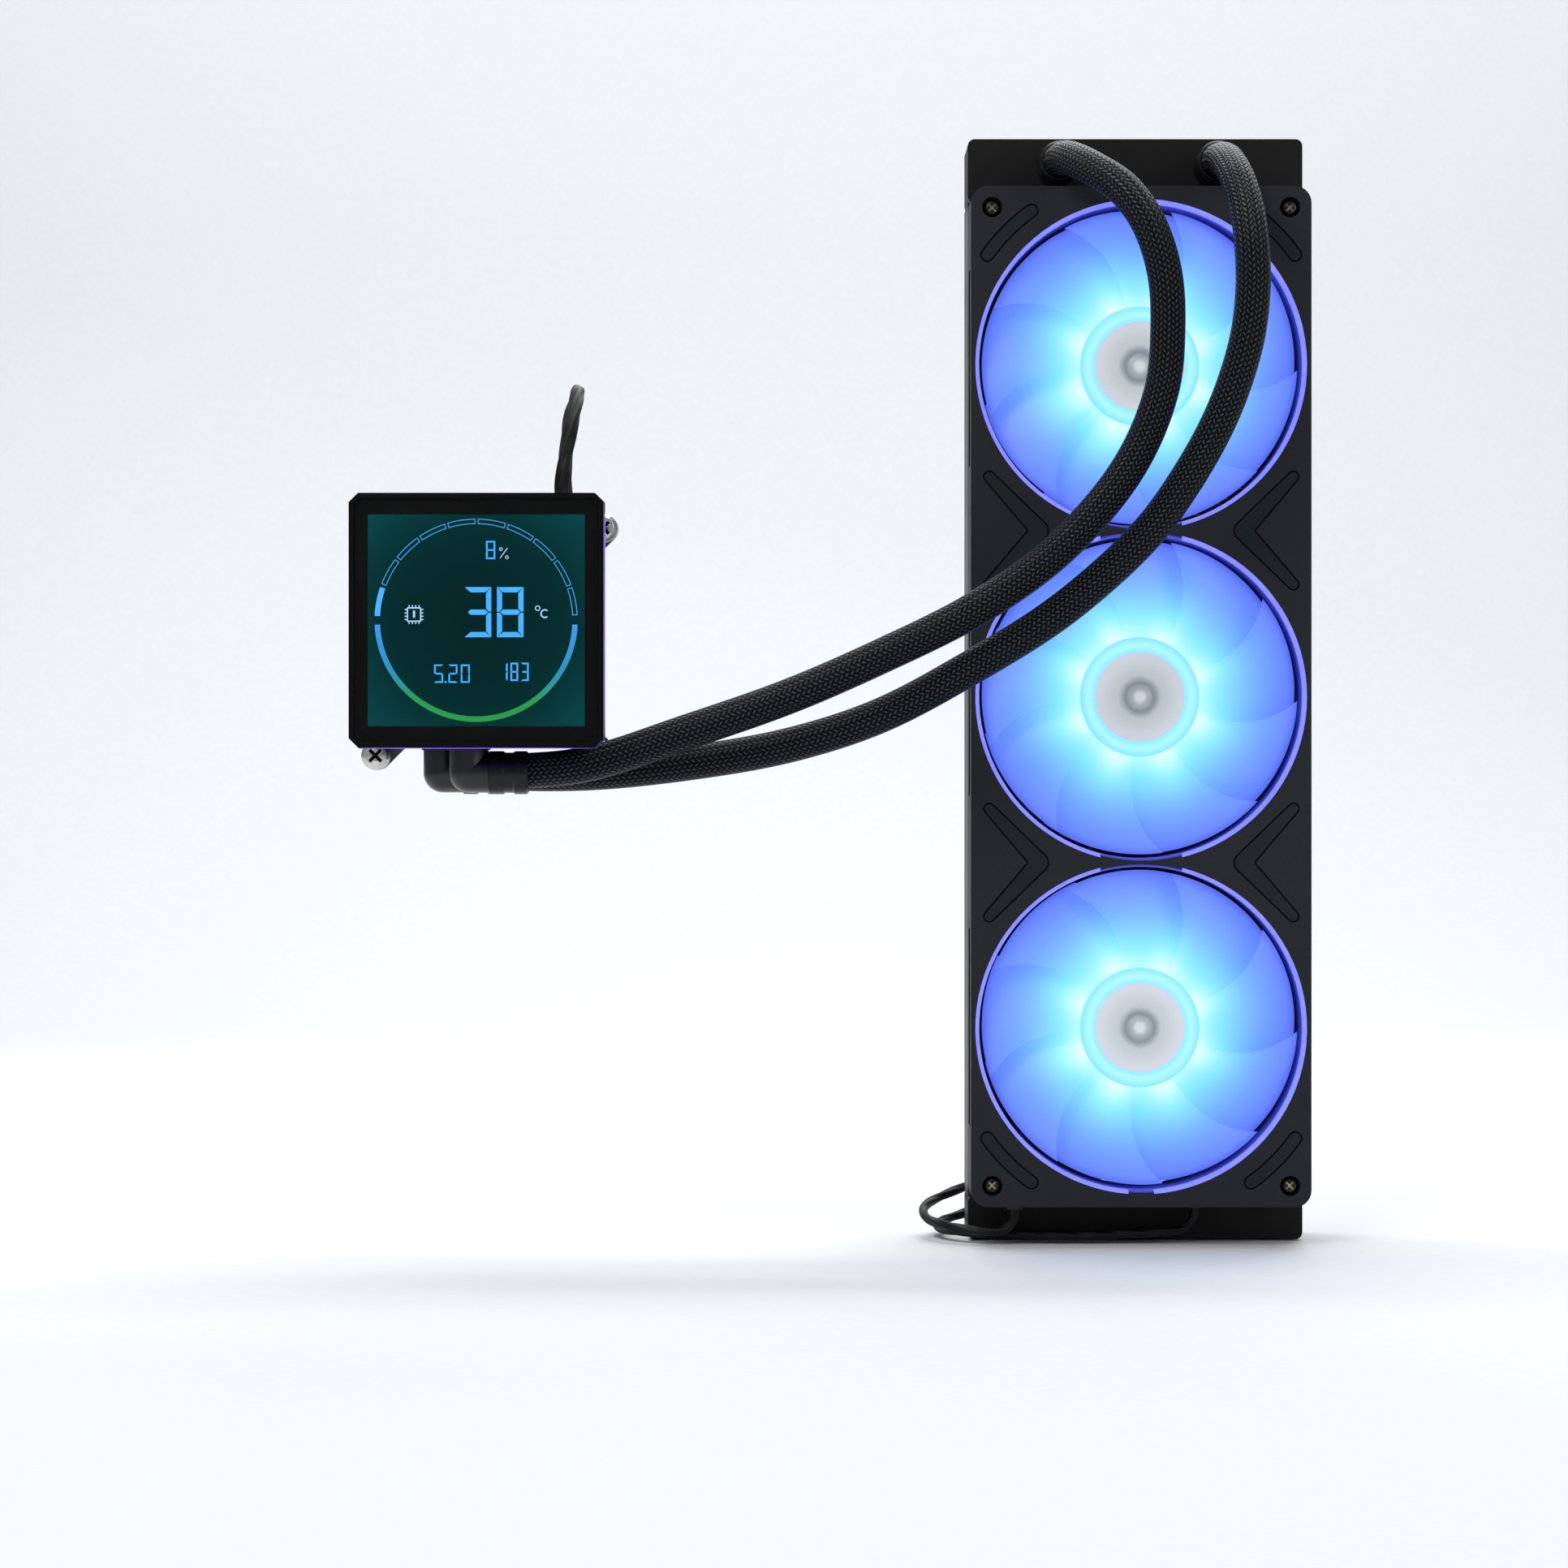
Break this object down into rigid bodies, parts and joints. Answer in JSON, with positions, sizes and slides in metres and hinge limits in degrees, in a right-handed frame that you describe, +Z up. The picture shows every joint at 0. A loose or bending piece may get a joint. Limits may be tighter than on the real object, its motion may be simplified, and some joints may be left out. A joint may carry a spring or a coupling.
{
  "type": "liquid cooling radiator",
  "caption": "Sealed liquid cooler: slim upright radiator with a one-piece lit fan unit, braided hoses and a square pump head with a display.",
  "frame": {"origin": "centre of the outer rear mounting holes, on the radiator's mounting plane", "axes": "+Y points to the wall that the radiator is screwed to, fans face -Y, +Z is up along the radiator, +X is right"},
  "size_m": [0.331, 0.1497, 0.3957],
  "materials": {
    "tank_paint": "satin black powder coat",
    "core_paint": "matte black paint",
    "rail_paint": "satin black paint",
    "brass": "machined brass",
    "ferrule_black": "black anodised",
    "hose_braid": "fine black braid over rubber",
    "fitting_black": "semi-gloss moulded",
    "frame_plastic": "fine matte moulded texture",
    "pad_rubber": "soft matte inlay",
    "light_diffuser": "frosted glowing trim",
    "board_green": "solder-masked circuit board",
    "lamination": "stacked steel sheets",
    "copper_wire": "enamelled copper winding",
    "bearing_bronze": "sintered bronze",
    "screw_black": "blackened steel",
    "rotor_frost": "frosted translucent",
    "cap_grey": "satin label disc",
    "steel": "ground steel",
    "magnet": "bonded ferrite",
    "lead_black": "satin sheath",
    "connector_black": "moulded connector",
    "glass_front": "polished cover glass",
    "screen": "lit display",
    "head_black": "satin black",
    "strip_violet": "frosted violet light guide",
    "pump_plastic": "glass-filled moulded",
    "impeller_plastic": "moulded",
    "ceramic": "polished ceramic",
    "copper": "milled copper",
    "seal_rubber": "moulded seal",
    "bracket_steel": "blackened plate",
    "screw_chrome": "nickel plated",
    "spring_steel": "spring wire"
  },
  "bodies": {
    "cooler": {"top_tank": "tank_paint", "bottom_tank": "tank_paint", "header_plates": "core_paint", "core_tubes": "core_paint", "core_fins": "core_paint", "side_rails": "rail_paint", "tank_ports": "brass", "fill_plug": "steel", "radiator_ferrules": "ferrule_black", "hose_left": "hose_braid", "hose_right": "hose_braid", "pump_ferrules": "ferrule_black", "elbow_fittings": "fitting_black", "fan_frame": "frame_plastic", "frame_pads": "pad_rubber", "light_rings": "light_diffuser", "light_boards": "board_green", "fan_stators": "lamination", "fan_coils": "copper_wire", "fan_bearings": "bearing_bronze", "fan_screws": "screw_black", "lead_grommets": "seal_rubber", "fan_lead": "lead_black", "fan_lead_coil": "lead_black", "fan_plug": "connector_black", "light_lead": "lead_black", "light_lead_coil": "lead_black", "light_plug": "connector_black", "pump_lead": "lead_black", "pump_lead_coil": "lead_black", "pump_plug": "connector_black", "display_glass": "glass_front", "display_panel": "screen", "display_bezel": "head_black", "light_strip": "strip_violet", "display_shell": "head_black", "display_board": "board_green", "pump_housing": "pump_plastic", "pump_stator": "lamination", "pump_axle": "ceramic", "cold_plate": "copper", "cold_plate_seal": "seal_rubber", "pump_seals": "seal_rubber", "bracket": "bracket_steel", "bracket_screws": "screw_chrome", "bracket_springs": "spring_steel"},
    "fan_rotor_1": {"rotor_1": "rotor_frost", "rotor_cap_1": "cap_grey", "rotor_shaft_1": "steel", "rotor_magnet_1": "magnet"},
    "fan_rotor_2": {"rotor_2": "rotor_frost", "rotor_cap_2": "cap_grey", "rotor_shaft_2": "steel", "rotor_magnet_2": "magnet"},
    "fan_rotor_3": {"rotor_3": "rotor_frost", "rotor_cap_3": "cap_grey", "rotor_shaft_3": "steel", "rotor_magnet_3": "magnet"},
    "pump_rotor": {"impeller": "impeller_plastic", "pump_magnet": "magnet"}
  },
  "joints": [
    {"name": "fan_spin_1", "type": "hinge", "parent": "cooler", "child": "fan_rotor_1", "pos_m": [0, -0.04, 0.117], "axis": [0, 1, 0], "continuous": true},
    {"name": "fan_spin_2", "type": "hinge", "parent": "cooler", "child": "fan_rotor_2", "pos_m": [0, -0.04, 0], "axis": [0, 1, 0], "continuous": true},
    {"name": "fan_spin_3", "type": "hinge", "parent": "cooler", "child": "fan_rotor_3", "pos_m": [0, -0.04, -0.117], "axis": [0, 1, 0], "continuous": true},
    {"name": "pump_spin", "type": "hinge", "parent": "cooler", "child": "pump_rotor", "pos_m": [-0.228, -0.1, 0.021], "axis": [0, 1, 0], "continuous": true}
  ]
}
